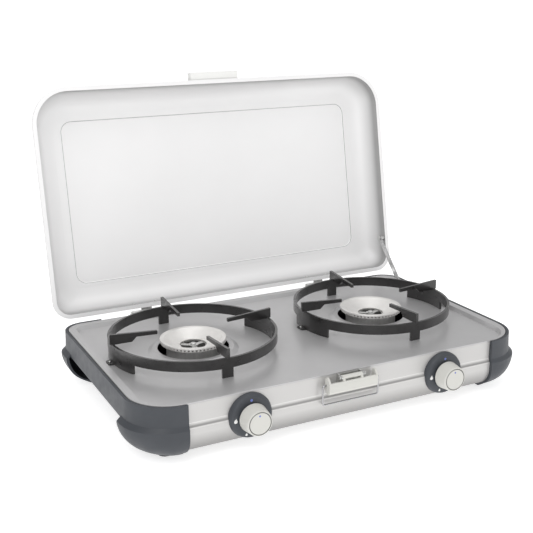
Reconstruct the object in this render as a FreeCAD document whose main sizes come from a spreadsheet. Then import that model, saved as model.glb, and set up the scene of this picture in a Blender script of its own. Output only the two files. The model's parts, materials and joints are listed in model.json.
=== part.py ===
import FreeCAD, Part
import math
import operator
import os
from types import SimpleNamespace

import Sketcher

# Two-burner camping stove with a folding lid: every piece of the object as its own solid.
#
# Frame: millimetres. +X is the user's right, +Y the back (the hinge side), +Z up.
# Origin: on the surface that the stove stands on, under the middle of the hob plate.
# The lid stands open, as the stove is used. Pieces of the lid are drawn as if it were shut, and
# their Placement turns them about the hinge axis to the open position.

DOC = FreeCAD.newDocument("camping_stove")
Vector = FreeCAD.Vector
Rotation = FreeCAD.Rotation
Placement = FreeCAD.Placement

# ------------------------------------------------------------------ driving dimensions

DRIVING = [
    ("rim_height", 70.0, "hob plate rim above the ground"),
    ("plate_width", 500.0, "hob plate, left to right"),
    ("plate_depth", 296.0, "hob plate, front to back"),
    ("front_corner", 48.0, "corner radius of the hob plate at the front"),
    ("rear_corner", 24.0, "corner radius of the hob plate at the back"),
    ("tray_depth", 5.0, "how far the cooking surface lies below the rim"),
    ("flange_width", 9.5, "flat rim round the tray at the sides and the back"),
    ("front_flange", 2.6, "flat rim at the front"),
    ("tray_slope", 3.0, "run of the tray's sloping side"),
    ("sheet", 1.0, "thickness of the steel sheet"),
    ("burner_offset", 127.8, "burner centres left and right of the middle"),
    ("burner_back", 9.3, "burner centres behind the middle"),
    ("burner_hole", 43.7, "radius of the hole that a burner stands in"),
    ("collar_radius", 55.5, "foot of the raised collar round a burner hole"),
    ("collar_rise", 2.8, "height of the raised collar"),
    ("cap_radius", 40.75, "burner cap, outer radius"),
    ("cap_top", 79.9, "rim of the burner cap above the ground"),
    ("cup_radius", 33.0, "burner cup, outer radius"),
    ("port_count", 54.0, "flame ports round a burner cap"),
    ("hoop_radius", 102.9, "pan support hoop, outer radius"),
    ("hoop_top", 88.5, "top of the pan support hoop above the ground"),
    ("hoop_height", 12.2, "height of the hoop's band"),
    ("hoop_wall", 3.0, "thickness of the hoop's band"),
    ("finger_top", 100.5, "outer end of a pan support finger above the ground"),
    ("panel_edge", 200.0, "where the front panel ends and a cheek begins"),
    ("floor_height", 8.0, "underside of the body sheet above the ground"),
    ("cheek_wall", 3.5, "wall of a plastic cheek"),
    ("grip_front", 95.0, "front end of the grip opening, ahead of the middle"),
    ("grip_back", 105.0, "rear end of the grip opening, behind the middle"),
    ("grip_top", 43.5, "lower edge of the side band over the grip opening"),
    ("pad_radius", 9.5, "foot pad radius"),
    ("pad_offset_x", 213.0, "foot pads left and right of the middle"),
    ("pad_offset_y", 112.0, "foot pads ahead of and behind the middle"),
    ("knob_offset", 128.0, "control knobs left and right of the middle"),
    ("knob_height", 42.7, "knob axis above the ground"),
    ("knob_base", 16.8, "knob radius at the panel"),
    ("knob_face", 14.4, "knob radius at its face"),
    ("knob_length", 17.0, "knob, panel end to face"),
    ("bezel_radius", 25.8, "bezel behind a knob"),
    ("lid_width", 519.0, "lid, left to right"),
    ("lid_depth", 298.0, "lid, hinge edge to front edge"),
    ("lid_height", 36.0, "lid, rim to top"),
    ("lid_gap", 0.6, "shut lid's rim above the hob plate rim"),
    ("lid_rear", 150.0, "shut lid's hinge edge behind the middle"),
    ("lid_flange", 4.5, "flat rim round the lid"),
    ("hinge_back", 155.5, "hinge axis behind the middle"),
    ("hinge_height", 69.1, "hinge axis above the ground"),
    ("hinge_offset", 133.5, "hinges left and right of the middle"),
    ("hinge_length", 45.0, "length of a hinge along its axis"),
    ("pin_radius", 1.75, "hinge pin"),
    ("knuckle_radius", 3.2, "hinge knuckle"),
    ("open_angle", 100.0, "how far the lid stands open, in degrees"),
    ("latch_offset", -3.5, "middle of the latch along the front panel"),
    ("stay_width", 7.0, "width of the flat lid stay"),
    ("stay_length", 88.0, "lid stay, pivot to tail"),
    ("rail_radius", 4.5, "gas rail tube"),
    ("rail_height", 30.0, "gas rail above the ground"),
    ("inlet_offset", 178.0, "gas inlet right of the middle"),
    ("inlet_radius", 6.58, "threaded gas inlet stub, over the thread"),
    ("bulkhead_radius", 8.0, "the stub's thicker part, clamped through the back"),
    ("lug_reach", 106.0, "hole in a pan support's lug, from the burner's centre"),
    ("valve_radius", 8.0, "barrel of a gas valve"),
]


class Size:
    """A length that knows its value and the sheet expression that gives it."""

    def __init__(self, text, value):
        self.text = text
        self.value = value

    def __add__(self, other):
        return combined(self, "+", other)

    def __radd__(self, other):
        return combined(other, "+", self)

    def __sub__(self, other):
        return combined(self, "-", other)

    def __rsub__(self, other):
        return combined(other, "-", self)

    def __mul__(self, other):
        return combined(self, "*", other)

    def __rmul__(self, other):
        return combined(other, "*", self)

    def __truediv__(self, other):
        return combined(self, "/", other)

    def __neg__(self):
        return combined(0.0, "-", self)


ARITHMETIC = {"+": operator.add, "-": operator.sub, "*": operator.mul, "/": operator.truediv}


def as_size(length):
    if isinstance(length, Size):
        return length
    return Size(f"({float(length)})", float(length))


def combined(left, sign, right):
    left = as_size(left)
    right = as_size(right)
    return Size(f"({left.text} {sign} {right.text})", ARITHMETIC[sign](left.value, right.value))


def make_sheet():
    """Write the driving dimensions to the spreadsheet and return them as Sizes."""
    sheet = DOC.addObject("Spreadsheet::Sheet", "sizes")
    for row, (alias, value, meaning) in enumerate(DRIVING, start=1):
        sheet.set(f"A{row}", alias)
        sheet.set(f"B{row}", f"{value:g}")
        sheet.setAlias(f"B{row}", alias)
        sheet.set(f"C{row}", meaning)
    DOC.recompute()
    return SimpleNamespace(**{a: Size(f"sizes.{a}", float(sheet.get(a))) for a, _, _ in DRIVING})


S = make_sheet()
NODES = []

# ------------------------------------------------------------------ shared construction


def bind(thing, prop, length):
    thing.setExpression(prop, as_size(length).text)


def place(thing, x=0.0, y=0.0, z=0.0, rotation=Rotation()):
    """Put an object at a point whose coordinates follow the sheet."""
    at = [as_size(c) for c in (x, y, z)]
    thing.Placement = Placement(Vector(*[c.value for c in at]), rotation)
    for letter, c in zip("xyz", at):
        bind(thing, f"Placement.Base.{letter}", c)
    return thing


def node(thing, label):
    """Name an object as one of the stove's pieces."""
    thing.Label = label
    NODES.append(thing)
    return thing


def found(label):
    """The piece that already carries this label."""
    return [piece for piece in NODES if piece.Label == label][0]


ALONG_X = Rotation(Vector(0, 1, 0), 90)
TOWARDS_FRONT = Rotation(Vector(1, 0, 0), 90)
TOWARDS_BACK = Rotation(Vector(1, 0, 0), -90)


def new_body(name):
    return DOC.addObject("PartDesign::Body", name)


def new_sketch(body, plane, height=0.0):
    """An empty sketch on one of the body's own origin planes, lifted along its normal."""
    sketch = body.newObject("Sketcher::SketchObject", "Sketch")
    support = [f for f in body.Origin.OriginFeatures if f.Role == plane][0]
    sketch.AttachmentSupport = [(support, "")]
    sketch.MapMode = "FlatFace"
    lift = as_size(height)
    sketch.AttachmentOffset = Placement(Vector(0, 0, lift.value), Rotation())
    bind(sketch, "AttachmentOffset.Base.z", lift)
    return sketch


def constrain(sketch, kind, *where, size=None):
    """Add a constraint, tied to the sheet where it has a size."""
    if size is None:
        sketch.addConstraint(Sketcher.Constraint(kind, *where))
        return
    size = as_size(size)
    index = sketch.addConstraint(Sketcher.Constraint(kind, *where, size.value))
    bind(sketch, f"Constraints[{index}]", size)


def draw_polygon(sketch, corners):
    """A closed outline of straight lines through the given corners."""
    corners = [(as_size(u), as_size(v)) for u, v in corners]
    first = sketch.GeometryCount
    count = len(corners)
    for i in range(count):
        (u, v), (u2, v2) = corners[i], corners[(i + 1) % count]
        line = Part.LineSegment(Vector(u.value, v.value, 0), Vector(u2.value, v2.value, 0))
        sketch.addGeometry(line, False)
    for i in range(count):
        sketch.addConstraint(
            Sketcher.Constraint("Coincident", first + i, 2, first + (i + 1) % count, 1)
        )
    for i, (u, v) in enumerate(corners):
        constrain(sketch, "DistanceX", -1, 1, first + i, 1, size=u)
        constrain(sketch, "DistanceY", -1, 1, first + i, 1, size=v)


def draw_circle(sketch, u, v, radius):
    u, v, radius = as_size(u), as_size(v), as_size(radius)
    index = sketch.addGeometry(
        Part.Circle(Vector(u.value, v.value, 0), Vector(0, 0, 1), radius.value), False
    )
    constrain(sketch, "DistanceX", -1, 1, index, 3, size=u)
    constrain(sketch, "DistanceY", -1, 1, index, 3, size=v)
    constrain(sketch, "Radius", index, size=radius)


def draw_rounded(sketch, left, right, low, high, low_radius, high_radius):
    """A rectangle with one radius at its two low corners and another at its two high ones."""
    left, right, low, high = [as_size(c) for c in (left, right, low, high)]
    low_radius, high_radius = as_size(low_radius), as_size(high_radius)
    corners = [
        (left, low, low_radius, 1, 1, 180),
        (right, low, low_radius, -1, 1, 270),
        (right, high, high_radius, -1, -1, 0),
        (left, high, high_radius, 1, -1, 90),
    ]
    first = sketch.GeometryCount
    arcs = []
    for u, v, radius, inward_u, inward_v, start in corners:
        r = radius.value
        centre = Vector(u.value + inward_u * r, v.value + inward_v * r, 0)
        circle = Part.Circle(centre, Vector(0, 0, 1), r)
        arc = Part.ArcOfCircle(circle, math.radians(start), math.radians(start + 90))
        arcs.append(arc)
        sketch.addGeometry(arc, False)
    for i in range(4):
        begin = arcs[i].EndPoint
        end = arcs[(i + 1) % 4].StartPoint
        sketch.addGeometry(Part.LineSegment(begin, end), False)
    for i in range(4):
        line = first + 4 + i
        constrain(sketch, "Tangent", first + i, 2, line, 1)
        constrain(sketch, "Tangent", line, 2, first + (i + 1) % 4, 1)
        constrain(sketch, "Radius", first + i, size=corners[i][2])
    constrain(sketch, "DistanceY", -1, 1, first + 4, 1, size=low)
    constrain(sketch, "DistanceX", -1, 1, first + 5, 1, size=right)
    constrain(sketch, "DistanceY", -1, 1, first + 6, 1, size=high)
    constrain(sketch, "DistanceX", -1, 1, first + 7, 1, size=left)
    for i, kind in enumerate(("Horizontal", "Vertical", "Horizontal", "Vertical")):
        constrain(sketch, kind, first + 4 + i)


def add_pad(body, sketch, length):
    pad = body.newObject("PartDesign::Pad", "Pad")
    pad.Profile = sketch
    bind(pad, "Length", length)
    return pad


def add_pocket(body, sketch, length, upwards=False):
    """Cut down from a sketch, against its normal, or upwards along it."""
    pocket = body.newObject("PartDesign::Pocket", "Pocket")
    pocket.Profile = sketch
    pocket.Reversed = upwards
    bind(pocket, "Length", length)
    return pocket


def add_loft(body, kind, sketches, ruled=False):
    loft = body.newObject(f"PartDesign::{kind}Loft", "Loft")
    loft.Profile = sketches[0]
    loft.Sections = sketches[1:]
    loft.Ruled = ruled
    return loft


def turned(name, corners):
    """A body turned about its own Z axis from an outline of (radius, height) corners."""
    body = new_body(name)
    sketch = new_sketch(body, "XZ_Plane")
    draw_polygon(sketch, corners)
    turn = body.newObject("PartDesign::Revolution", "Revolution")
    turn.Profile = sketch
    turn.ReferenceAxis = (sketch, ["V_Axis"])
    turn.Angle = 360.0
    return body


def extruded(name, plane, corners, start, length):
    """A body of one outline, extruded along its plane's normal."""
    body = new_body(name)
    sketch = new_sketch(body, plane, start)
    draw_polygon(sketch, corners)
    add_pad(body, sketch, length)
    return body


def cylinder(name, radius, length):
    thing = DOC.addObject("Part::Cylinder", name)
    bind(thing, "Radius", radius)
    bind(thing, "Height", length)
    return thing


def box(name, x, y, z, width, depth, height):
    """A box from its low corner and its three sizes."""
    thing = DOC.addObject("Part::Box", name)
    bind(thing, "Length", width)
    bind(thing, "Width", depth)
    bind(thing, "Height", height)
    return place(thing, x, y, z)


def cut(name, base, tool):
    thing = DOC.addObject("Part::Cut", name)
    thing.Base = base
    thing.Tool = tool
    return thing


def fused(name, pieces):
    thing = DOC.addObject("Part::MultiFuse", name)
    thing.Shapes = pieces
    return thing


def group(name, pieces):
    """Several separate solids that share one node, such as identical fasteners."""
    thing = DOC.addObject("Part::Compound", name)
    thing.Links = pieces
    return thing


def feature(name, shape):
    thing = DOC.addObject("Part::Feature", name)
    thing.Shape = shape
    return thing


def sheet_strip(path, thickness):
    """The flat section of a strip bent along a path of (u, v) points, as (u, v) corners.

    The path is the middle of the strip. Each bend is mitred."""
    half = thickness / 2
    count = len(path)
    directions = []
    for (u, v), (u2, v2) in zip(path, path[1:]):
        length = math.hypot(u2 - u, v2 - v)
        directions.append(((u2 - u) / length, (v2 - v) / length))
    sides = [[], []]
    for i, (u, v) in enumerate(path):
        before = directions[max(i - 1, 0)]
        after = directions[min(i, count - 2)]
        normal_u = -(before[1] + after[1])
        normal_v = before[0] + after[0]
        length = math.hypot(normal_u, normal_v)
        normal_u, normal_v = normal_u / length, normal_v / length
        reach = half / (normal_u * -after[1] + normal_v * after[0])
        sides[0].append((u + normal_u * reach, v + normal_v * reach))
        sides[1].append((u - normal_u * reach, v - normal_v * reach))
    return sides[0] + sides[1][::-1]


def rectangle(x_low, x_high, y_low, y_high):
    return [(x_low, y_low), (x_high, y_low), (x_high, y_high), (x_low, y_high)]


def both_sides():
    """The two sides of the stove as (name, sign of x)."""
    return (("left", -1), ("right", 1))


LID_GAUGE = 0.9
SKIN_GAP = 0.05

HINGE_AXIS = Vector(0, S.hinge_back.value, S.hinge_height.value)
OPEN = Placement(Vector(), Rotation(Vector(1, 0, 0), -S.open_angle.value), HINGE_AXIS)


def opened(thing):
    """Turn a piece drawn on the shut lid to the open position."""
    thing.Placement = OPEN.multiply(thing.Placement)
    return thing


# Where the stay's pivot lies on the shut lid (y, z), which way the stay slopes when the lid is
# open, and the strip's place across the stove.
STAY_PIVOT = (101.5, 75.8)
STAY_DIRECTION = 45.4
STAY_X = 246.9
STAY_THICKNESS = 1.8

# ------------------------------------------------------------------ body of the stove


def plate_outline(sketch, side_inset, front_inset, front_radius, rear_radius):
    """The hob plate's outline, drawn in from its edge."""
    draw_rounded(
        sketch,
        side_inset - S.plate_width / 2,
        S.plate_width / 2 - side_inset,
        front_inset - S.plate_depth / 2,
        S.plate_depth / 2 - side_inset,
        front_radius,
        rear_radius,
    )


def hob_plate():
    """Pressed tray with a flat rim, two burner holes with raised collars, and the stay's slot."""
    body = new_body("hob_plate_body")
    flange = 1.2
    tray_side = S.flange_width - 1.0
    rim = new_sketch(body, "XY_Plane", S.rim_height - flange)
    plate_outline(rim, 0.0, 0.0, S.front_corner, S.rear_corner)
    add_pad(body, rim, flange)
    floor = S.rim_height - S.tray_depth
    tray = new_sketch(body, "XY_Plane", floor - S.sheet)
    plate_outline(tray, tray_side, 1.2, S.front_corner - tray_side, S.rear_corner - tray_side)
    add_pad(body, tray, S.tray_depth + S.sheet - flange)
    mouth = new_sketch(body, "XY_Plane", S.rim_height)
    mouth_front = S.front_corner - S.flange_width
    mouth_rear = S.rear_corner - S.flange_width
    plate_outline(mouth, S.flange_width, S.front_flange, mouth_front, mouth_rear)
    bottom = new_sketch(body, "XY_Plane", floor)
    plate_outline(
        bottom,
        S.flange_width + S.tray_slope,
        S.front_flange + 1.4,
        mouth_front - S.tray_slope / 2,
        mouth_rear - S.tray_slope / 2,
    )
    add_loft(body, "Subtractive", [mouth, bottom])
    collar_top = S.collar_radius - 6.0
    for side in (-1, 1):
        foot = new_sketch(body, "XY_Plane", floor)
        draw_circle(foot, side * S.burner_offset, S.burner_back, S.collar_radius)
        top = new_sketch(body, "XY_Plane", floor + S.collar_rise)
        draw_circle(top, side * S.burner_offset, S.burner_back, collar_top)
        add_loft(body, "Additive", [foot, top])
    for radius, height in ((collar_top - 1.2, S.collar_rise), (S.burner_hole, 2 * S.collar_rise)):
        hole = new_sketch(body, "XY_Plane", floor - S.sheet)
        for side in (-1, 1):
            draw_circle(hole, side * S.burner_offset, S.burner_back, radius)
        add_pocket(body, hole, height, upwards=True)
    slot = new_sketch(body, "XY_Plane", S.rim_height + 1.0)
    draw_polygon(slot, rectangle(STAY_X - 0.5, STAY_X + STAY_THICKNESS + 0.5, 26.0, 128.0))
    add_pocket(body, slot, 4.0)
    node(body, "hob_plate")


# Heights of the front panel's fold, where the lower part steps outwards.
PANEL_FOLD = (41.4, 46.7)


def body_shell_section():
    """Outer and inner outlines of the folded body sheet, in the plane across the stove."""
    half = S.plate_depth.value / 2
    top = S.rim_height.value - 1.4
    low = S.floor_height.value
    step = 2.2
    curve = 25.0
    rear_curve = 3.0
    gauge = 0.8

    def outline(inset):
        front = -half + inset
        stepped = front - step
        back = half - inset
        bottom = low + inset
        bend = curve - inset
        rear_bend = rear_curve - inset
        diagonal = math.sqrt(0.5)
        front_middle = Vector(0, stepped + bend * (1 - diagonal), bottom + bend * (1 - diagonal))
        rear_middle = Vector(0, back - rear_bend * (1 - diagonal), bottom + rear_bend * (1 - diagonal))
        corners = [
            Vector(0, front, top),
            Vector(0, front, PANEL_FOLD[1]),
            Vector(0, stepped, PANEL_FOLD[0]),
            Vector(0, stepped, bottom + bend),
            Vector(0, stepped + bend, bottom),
            Vector(0, back - rear_bend, bottom),
            Vector(0, back, bottom + rear_bend),
            Vector(0, back, top),
        ]
        edges = [Part.makeLine(corners[i], corners[i + 1]) for i in (0, 1, 2)]
        edges.append(Part.Arc(corners[3], front_middle, corners[4]).toShape())
        edges.append(Part.makeLine(corners[4], corners[5]))
        edges.append(Part.Arc(corners[5], rear_middle, corners[6]).toShape())
        edges.append(Part.makeLine(corners[6], corners[7]))
        edges.append(Part.makeLine(corners[7], corners[0]))
        return Part.Face(Part.Wire(edges))

    return outline(0.0), outline(gauge)


def body_shell():
    """One folded sheet: front panel with its step, curved under into the floor, and the back."""
    edge = S.panel_edge.value - 0.2
    outer, inner = body_shell_section()
    across = Vector(2 * edge, 0, 0)
    shell = outer.extrude(across).cut(inner.extrude(across))
    shell.translate(Vector(-edge, 0, 0))
    inlet = Vector(S.inlet_offset.value, 140, S.rail_height.value)
    holes = [Part.makeCylinder(S.bulkhead_radius.value + 0.2, 20, inlet, Vector(0, 1, 0))]
    for _, side in both_sides():
        at = Vector(side * S.knob_offset.value, -160, S.knob_height.value)
        holes.append(Part.makeCylinder(7.0, 25, at, Vector(0, 1, 0)))
        for along in SCREW_ROW:
            at = Vector(side * SCREW_X, along, S.floor_height.value - 5.0)
            holes.append(Part.makeCylinder(1.7, 12, at))
    node(feature("body_shell", shell.cut(holes)), "body_shell")


SCREW_X = 192.0
SCREW_ROW = (-70.0, 0.0, 70.0)

# Height above the ground; how far the cheek's outside stands out from the hob plate's edge at
# the side and the back; how far at the front; and the radius of its front corner.
CHEEK_LEVELS = [
    (4.0, -18.0, -17.5, 30.8),
    (11.0, -6.5, -6.5, 41.6),
    (17.0, 0.8, 0.8, 48.9),
    (24.0, 6.0, 4.9, 52.7),
    (31.0, 9.0, 6.5, 53.8),
    (37.0, 10.6, 6.6, 53.5),
    (42.0, 10.8, 6.6, 53.4),
]
CHEEK_STEP = [(42.0, 10.8, 6.6, 53.4), (47.0, 5.4, 4.6, 52.4)]
CHEEK_UPPER = [(47.0, 5.4, 4.6, 52.4), (58.0, 4.8, 4.5, 52.5), (70.0, 4.4, 4.4, 52.4)]
CHEEK_HOLLOW_LOW = (8.5, -13.0, -13.0, 35.0)
END_WALL = 2.5


def cheek_stack(body, kind, levels, inset, ruled):
    """Loft through the hob plate's outline, drawn out or in at each height."""
    sketches = []
    for height, side_out, front_out, corner in levels:
        sketch = new_sketch(body, "XY_Plane", height)
        side = side_out - inset
        rear_corner = max(S.rear_corner.value + side, 8.0)
        plate_outline(sketch, -side, inset - front_out, corner - inset, rear_corner)
        sketches.append(sketch)
    add_loft(body, kind, sketches, ruled)


def cheek_pocket(body, corners, low, high):
    """Cut an outline, seen from above, out of the cheek between two heights."""
    sketch = new_sketch(body, "XY_Plane", high)
    draw_polygon(sketch, corners)
    add_pocket(body, sketch, high - low)


def cheek_block(body, corners, low, high):
    sketch = new_sketch(body, "XY_Plane", low)
    draw_polygon(sketch, corners)
    add_pad(body, sketch, high - low)


def cheek_end_wall(body, facing, reach_column, inner):
    """Close the cheek's hollow beside the body sheet, in front of or behind the grip."""
    buried = 0.3
    under_plate = S.rim_height.value - S.tray_depth.value - S.sheet.value - 0.4
    edge = []
    for level in CHEEK_LEVELS + CHEEK_UPPER[:-1]:
        reach = S.plate_depth.value / 2 + level[reach_column] - buried
        edge.append((facing * reach, level[0] + buried))
    corners = [(inner, edge[0][1])] + edge + [(edge[-1][0], under_plate), (inner, under_plate)]
    sketch = new_sketch(body, "YZ_Plane", S.panel_edge)
    draw_polygon(sketch, corners)
    add_pad(body, sketch, END_WALL)


def cheek_right_body():
    """Moulded end of the stove: a band under the rim and two foot shells with a grip between."""
    body = new_body("cheek_body")
    cheek_stack(body, "Additive", CHEEK_LEVELS, 0.0, False)
    cheek_stack(body, "Additive", CHEEK_STEP, 0.0, True)
    cheek_stack(body, "Additive", CHEEK_UPPER, 0.0, True)
    wall = S.cheek_wall.value
    above = CHEEK_UPPER[-1][0] + 1.0
    cheek_stack(body, "Subtractive", [CHEEK_HOLLOW_LOW] + CHEEK_LEVELS[1:], wall, False)
    cheek_stack(body, "Subtractive", CHEEK_STEP, wall, True)
    cheek_stack(body, "Subtractive", CHEEK_UPPER[:-1] + [(above, *CHEEK_UPPER[-1][1:])], wall, True)
    cheek_pocket(body, rectangle(-300.0, S.panel_edge, -200.0, 200.0), 0.0, 80.0)
    grip = rectangle(S.panel_edge + 3.0, 300.0, -S.grip_front, S.grip_back)
    cheek_pocket(body, grip, 0.0, S.grip_top)
    recess = 224.0
    inside = S.plate_width / 2 + 0.9
    band = inside + 4.4
    cheek_pocket(body, rectangle(inside, 300.0, -S.grip_front, S.grip_back), S.grip_top - 1.0, 47.0)
    cheek_block(body, rectangle(inside, band, -S.grip_front - 1.0, S.grip_back + 1.0), S.grip_top, 48.0)
    web = rectangle(recess, inside + 1.0, -S.grip_front - 1.0, S.grip_back + 1.0)
    cheek_block(body, web, S.grip_top, S.grip_top + 1.5)
    tongue = S.floor_height + 1.0
    length = (1.0 - S.grip_front, S.grip_back - 1.0)
    cheek_block(body, rectangle(recess, recess + 2.5, *length), tongue, 62.0)
    cheek_block(body, rectangle(180.0, recess + 2.5, *length), tongue, tongue + 2.5)
    cheek_end_wall(body, -1, 2, -S.grip_front - 0.5)
    cheek_end_wall(body, 1, 1, S.grip_back + 0.5)
    return body


def cheeks():
    right = cheek_right_body()
    node(right, "cheek_right")
    left = DOC.addObject("Part::Mirroring", "cheek_mirror")
    left.Source = right
    left.Normal = Vector(1, 0, 0)
    node(left, "cheek_left")


def foot_pads():
    pads = []
    for _, side in both_sides():
        for along in (-1, 1):
            pad = turned("pad", [
                (0.0, 0.0),
                (S.pad_radius - 1.0, 0.0),
                (S.pad_radius, 1.0),
                (S.pad_radius, CHEEK_LEVELS[0][0]),
                (0.0, CHEEK_LEVELS[0][0]),
            ])
            pads.append(place(pad, side * S.pad_offset_x, along * S.pad_offset_y, 0.0))
    node(group("foot_pads_group", pads), "foot_pads")


def cheek_screws():
    """Pan-head screws up through the floor of the body sheet into each cheek's tongue."""
    screws = []
    for _, side in both_sides():
        for along in SCREW_ROW:
            screw = turned("screw", [
                (0.0, 0.0),
                (3.2, 0.0),
                (3.6, 0.6),
                (3.6, 2.0),
                (1.5, 2.0),
                (1.5, 9.0),
                (0.0, 9.0),
            ])
            screws.append(place(screw, side * SCREW_X, along, S.floor_height - 2.0))
    node(group("cheek_screws_group", screws), "cheek_screws")


# ------------------------------------------------------------------ burners and gas path


def burner_cup(name, side):
    """The neck that carries the cap, with the mixing chamber under the hob plate."""
    radius = S.cup_radius
    wall = 1.2
    cup = turned("cup", [
        (0.0, 33.0),
        (radius - 6.0, 33.0),
        (radius, 39.0),
        (radius, S.cap_top - 5.5),
        (radius - wall, S.cap_top - 5.5),
        (radius - wall, 39.6),
        (radius - 6.4, 34.2),
        (0.0, 34.2),
    ])
    place(cup, side * S.burner_offset, S.burner_back, 0.0)
    mouth = cylinder("mouth", 9.0, radius)
    place(mouth, side * S.burner_offset, S.burner_back - 3.0, S.knob_height, TOWARDS_FRONT)
    node(cut("cup_bored", cup, mouth), f"burner_cup_{name}")


def burner_cap(name, side):
    """Bowl-shaped cap with a ring of flame ports in its skirt and three vent openings."""
    body = turned("cap", [
        (16.5, S.cap_top - 10.2),
        (18.5, S.cap_top - 10.2),
        (S.cap_radius - 8.5, S.cap_top - 3.4),
        (S.cap_radius - 4.4, S.cap_top - 2.0),
        (S.cap_radius - 4.4, S.cap_top - 4.3),
        (S.cup_radius - 1.4, S.cap_top - 4.3),
        (S.cup_radius - 1.4, S.cap_top - 5.5),
        (S.cap_radius - 1.6, S.cap_top - 5.5),
        (S.cap_radius - 0.7, S.cap_top - 4.8),
        (S.cap_radius, S.cap_top - 1.2),
        (S.cap_radius - 0.4, S.cap_top - 0.2),
        (S.cap_radius - 1.4, S.cap_top),
        (S.cap_radius - 5.4, S.cap_top - 0.5),
        (S.cap_radius - 7.0, S.cap_top - 1.6),
        (18.0, S.cap_top - 9.0),
        (16.5, S.cap_top - 9.0),
    ])
    ports = []
    width = 2.3
    corner = Vector(S.cap_radius.value - 4.8, -width / 2, S.cap_top.value - 4.2)
    for i in range(int(S.port_count.value)):
        port = Part.makeBox(6.0, width, 1.9, corner)
        port.rotate(Vector(), Vector(0, 0, 1), 360.0 * i / S.port_count.value)
        ports.append(port)
    ring = feature("port_ring", Part.makeCompound(ports))
    pierced = cut("cap_pierced", body, ring)
    place(pierced, side * S.burner_offset, S.burner_back, 0.0)
    node(pierced, f"burner_cap_{name}")


def burner_vane(name, side):
    """Three-armed vane that fills the opening in the middle of the cap."""
    low = S.cap_top.value - 12.0
    base = Vector(0, 0, low)
    arms = []
    for turn in (20, 140, 260):
        arm = Part.makeBox(17.0, 6.0, 1.4, Vector(0, -3.0, low))
        arm.rotate(Vector(), Vector(0, 0, 1), turn)
        arms.append(arm)
    ring = Part.makeCylinder(19.0, 1.2, base).cut(Part.makeCylinder(15.0, 1.2, base))
    hub = Part.makeCylinder(6.0, 2.4, base)
    vane = ring.fuse(arms + [hub]).cut(Part.makeCylinder(2.0, 4.0, base)).removeSplitter()
    node(place(feature("vane", vane), side * S.burner_offset, S.burner_back, 0.0), f"burner_vane_{name}")


def burner_screw(name, side):
    """Brass screw that clamps the vane and the cap to the cup."""
    top = S.cap_top - 9.6
    screw = turned("burner_screw_body", [
        (0.0, 34.2),
        (2.0, 34.2),
        (2.0, top),
        (3.6, top),
        (3.6, top + 1.2),
        (2.8, top + 2.0),
        (0.0, top + 2.0),
    ])
    node(place(screw, side * S.burner_offset, S.burner_back, 0.0), f"burner_screw_{name}")


def mixing_tube(name, side):
    """Tube that carries gas and air from the jet to the burner cup."""
    start = 104.0 + S.burner_back.value
    tube = turned("tube", [
        (7.6, 27.5),
        (8.9, 27.5),
        (8.9, start - 16.0),
        (11.0, start - 6.0),
        (11.0, start),
        (9.8, start),
        (9.8, start - 5.6),
        (7.6, start - 15.4),
    ])
    at = (side * S.burner_offset, S.burner_back, S.knob_height)
    place(tube, *at, TOWARDS_FRONT)
    air = place(cylinder("air_hole", 3.0, 30.0), at[0], -97.0, S.knob_height - 15.0)
    node(cut("tube_holed", tube, air), f"mixing_tube_{name}")


def burner_bracket(name, side):
    """Folded strap that carries the cup on the floor of the body sheet."""
    low = S.floor_height.value + 0.8 + 0.6
    high = 33.0 - 0.6
    path = [(-40.0, low), (-27.0, low), (-22.0, high), (22.0, high), (27.0, low), (40.0, low)]
    strap = extruded("strap", "XZ_Plane", sheet_strip(path, 1.2), -10.0, 20.0)
    node(place(strap, side * S.burner_offset, S.burner_back, 0.0), f"burner_bracket_{name}")


def valve(name, side):
    """Gas valve: body on the rail, gland, turning plug and jet."""
    at = (side * S.knob_offset, 0.0, S.knob_height)
    turned_body = turned("valve_turned", [
        (0.0, 110.0),
        (4.6, 110.0),
        (4.6, 114.0),
        (S.valve_radius, 117.0),
        (S.valve_radius, 143.0),
        (5.05, 143.0),
        (5.05, 121.0),
        (0.0, 121.0),
    ])
    place(turned_body, *at, TOWARDS_FRONT)
    saddle = box("saddle", side * S.knob_offset - 8.0, -137.0, 23.0, 16.0, 18.0, 14.0)
    bored = cut("saddle_bored", saddle, place(
        cylinder("rail_seat", S.rail_radius + 0.02, 30.0),
        side * S.knob_offset - 15.0, -128.0, S.rail_height, ALONG_X,
    ))
    barrel = place(cylinder("plug_bore", 5.05, 22.0), at[0], -121.0, at[2], TOWARDS_FRONT)
    body = cut("valve_bored", fused("valve_blank", [turned_body, bored]), barrel)
    node(body, f"valve_body_{name}")
    gland = turned("gland", [
        (3.05, 143.0),
        (S.valve_radius, 143.0),
        (S.valve_radius, 145.5),
        (3.05, 145.5),
    ])
    node(place(gland, *at, TOWARDS_FRONT), f"valve_gland_{name}")
    plug = turned("plug", [
        (0.0, 121.3),
        (5.0, 121.3),
        (5.0, 139.0),
        (2.55, 139.0),
        (2.55, 125.5),
        (0.0, 125.5),
    ])
    node(place(plug, *at, TOWARDS_FRONT), f"valve_plug_{name}")
    jet = turned("jet", [(0.6, 102.0), (3.2, 102.0), (4.2, 104.5), (4.2, 110.0), (0.6, 110.0)])
    node(place(jet, *at, TOWARDS_FRONT), f"gas_jet_{name}")


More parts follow.
